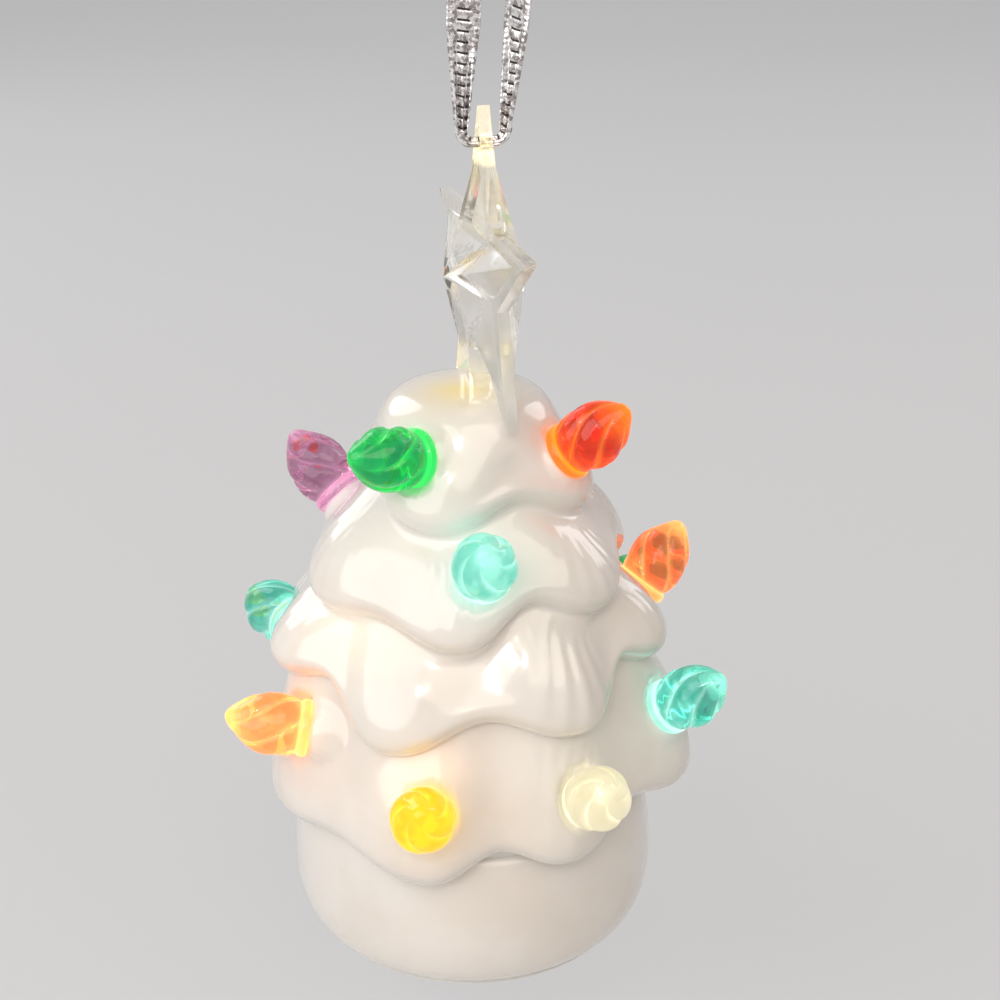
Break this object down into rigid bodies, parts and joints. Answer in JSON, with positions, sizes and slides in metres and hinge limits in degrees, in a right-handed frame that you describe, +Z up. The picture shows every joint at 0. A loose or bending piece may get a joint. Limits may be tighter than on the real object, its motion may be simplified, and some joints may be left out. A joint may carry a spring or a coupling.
{
  "type": "ceramic christmas tree ornament",
  "caption": "Small glazed ceramic tree, lit from inside, with coloured twist bulbs and a clear star, a battery base with a switch, and a ribbon loop to hang it by.",
  "frame": {"origin": "inside of the ribbon loop's top, just under the knot, where a twig or hook holds it", "axes": "+Z up along the tree's axis, +Y away from the picture's viewer, +X to the viewer's right"},
  "size_m": [0.0519, 0.0569, 0.1226],
  "materials": {
    "glaze": "gloss",
    "base_plastic": "satin",
    "steel": "satin",
    "cell_steel": "polished",
    "board": "satin",
    "lamp": "gloss",
    "resistor": "satin",
    "knob": "satin",
    "lead_red": "satin",
    "lead_black": "satin",
    "star_clear": "gloss",
    "ribbon": "metallic sheen",
    "bulb_green": "gloss",
    "bulb_red": "gloss",
    "bulb_teal": "gloss",
    "bulb_purple": "gloss",
    "bulb_amber": "gloss",
    "bulb_clear": "gloss",
    "bulb_orange": "gloss",
    "bulb_yellow": "gloss"
  },
  "bodies": {
    "hanger": {"ribbon_eye": "ribbon", "ribbon_left": "ribbon", "ribbon_right": "ribbon", "ribbon_knot": "ribbon"},
    "ornament": {"base_plate": "base_plastic", "base_ring": "glaze", "bulb_10_yellow": "bulb_yellow", "bulb_11_red": "bulb_red", "bulb_12_teal": "bulb_teal", "bulb_13_orange": "bulb_orange", "bulb_14_yellow": "bulb_yellow", "bulb_15_clear": "bulb_clear", "bulb_16_teal": "bulb_teal", "bulb_17_purple": "bulb_purple", "bulb_18_green": "bulb_green", "bulb_19_amber": "bulb_amber", "bulb_1_green": "bulb_green", "bulb_2_red": "bulb_red", "bulb_3_teal": "bulb_teal", "bulb_4_purple": "bulb_purple", "bulb_5_teal": "bulb_teal", "bulb_6_amber": "bulb_amber", "bulb_7_clear": "bulb_clear", "bulb_8_orange": "bulb_orange", "bulb_9_green": "bulb_green", "button_cell_1": "cell_steel", "button_cell_2": "cell_steel", "button_cell_3": "cell_steel", "contact_plate": "steel", "contact_spring": "steel", "lead_negative": "lead_black", "lead_positive": "lead_red", "lead_switch": "lead_red", "led": "lamp", "led_board": "board", "resistor": "resistor", "star": "star_clear", "switch_body": "steel", "tree_shell": "glaze"},
    "switch_knob": {"switch_knob": "knob"},
    "battery_door": {"battery_door": "base_plastic", "door_screw": "steel"}
  },
  "joints": [
    {"name": "swing", "type": "hinge", "parent": "hanger", "child": "ornament", "pos_m": [-0.00135, -0.00038, -0.03], "axis": [0.9622, 0.2723, 0], "range_deg": [-35, 35]},
    {"name": "switch_slide", "type": "slide", "parent": "ornament", "child": "switch_knob", "axis": [1, 0, 0], "range_m": [0, 0.002]},
    {"name": "door_lift", "type": "slide", "parent": "ornament", "child": "battery_door", "axis": [0, 0, -1], "range_m": [0, 0.012]}
  ]
}
